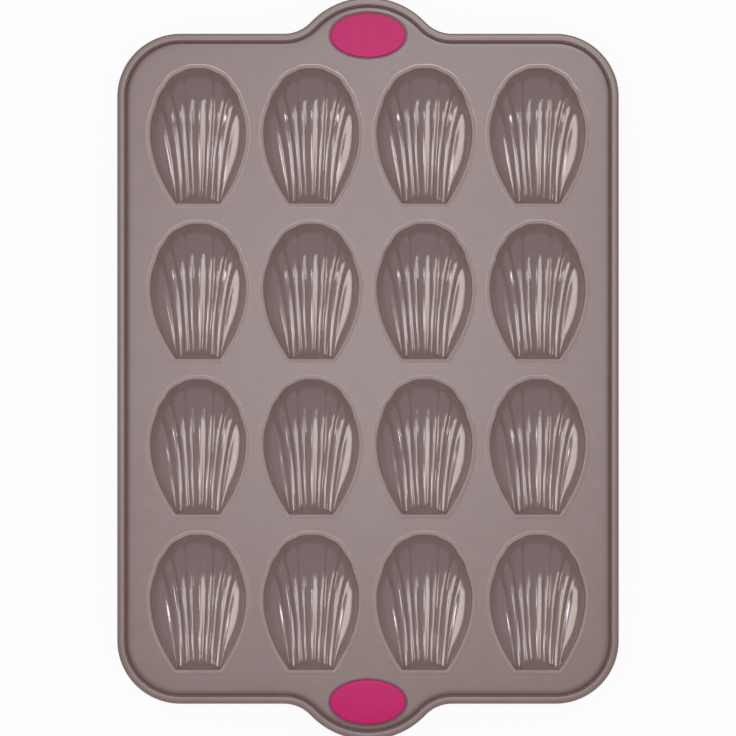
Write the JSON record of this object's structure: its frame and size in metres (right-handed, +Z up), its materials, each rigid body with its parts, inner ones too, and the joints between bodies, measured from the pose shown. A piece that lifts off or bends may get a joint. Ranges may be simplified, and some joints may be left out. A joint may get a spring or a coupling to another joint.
{
  "type": "madeleine pan",
  "caption": "Flexible baking pan with shell-shaped cups, a raised rim round a steel wire and an oval insert in each grip.",
  "frame": {"origin": "on the surface the pan stands on, under the middle of its outline", "axes": "+X across the pan to the right as seen from above, +Y along it towards the cups' scalloped ends, +Z up out of the cups"},
  "size_m": [0.25, 0.37, 0.02],
  "materials": {
    "grey_silicone": "satin",
    "steel_wire": "drawn wire",
    "pink_silicone": "satin"
  },
  "bodies": {
    "root": {"web": "grey_silicone", "rim": "grey_silicone", "cup_1_1": "grey_silicone", "cup_1_2": "grey_silicone", "cup_1_3": "grey_silicone", "cup_1_4": "grey_silicone", "cup_2_1": "grey_silicone", "cup_2_2": "grey_silicone", "cup_2_3": "grey_silicone", "cup_2_4": "grey_silicone", "cup_3_1": "grey_silicone", "cup_3_2": "grey_silicone", "cup_3_3": "grey_silicone", "cup_3_4": "grey_silicone", "cup_4_1": "grey_silicone", "cup_4_2": "grey_silicone", "cup_4_3": "grey_silicone", "cup_4_4": "grey_silicone", "frame_wire": "steel_wire", "grip_insert_far": "pink_silicone", "grip_insert_near": "pink_silicone"}
  },
  "joints": []
}
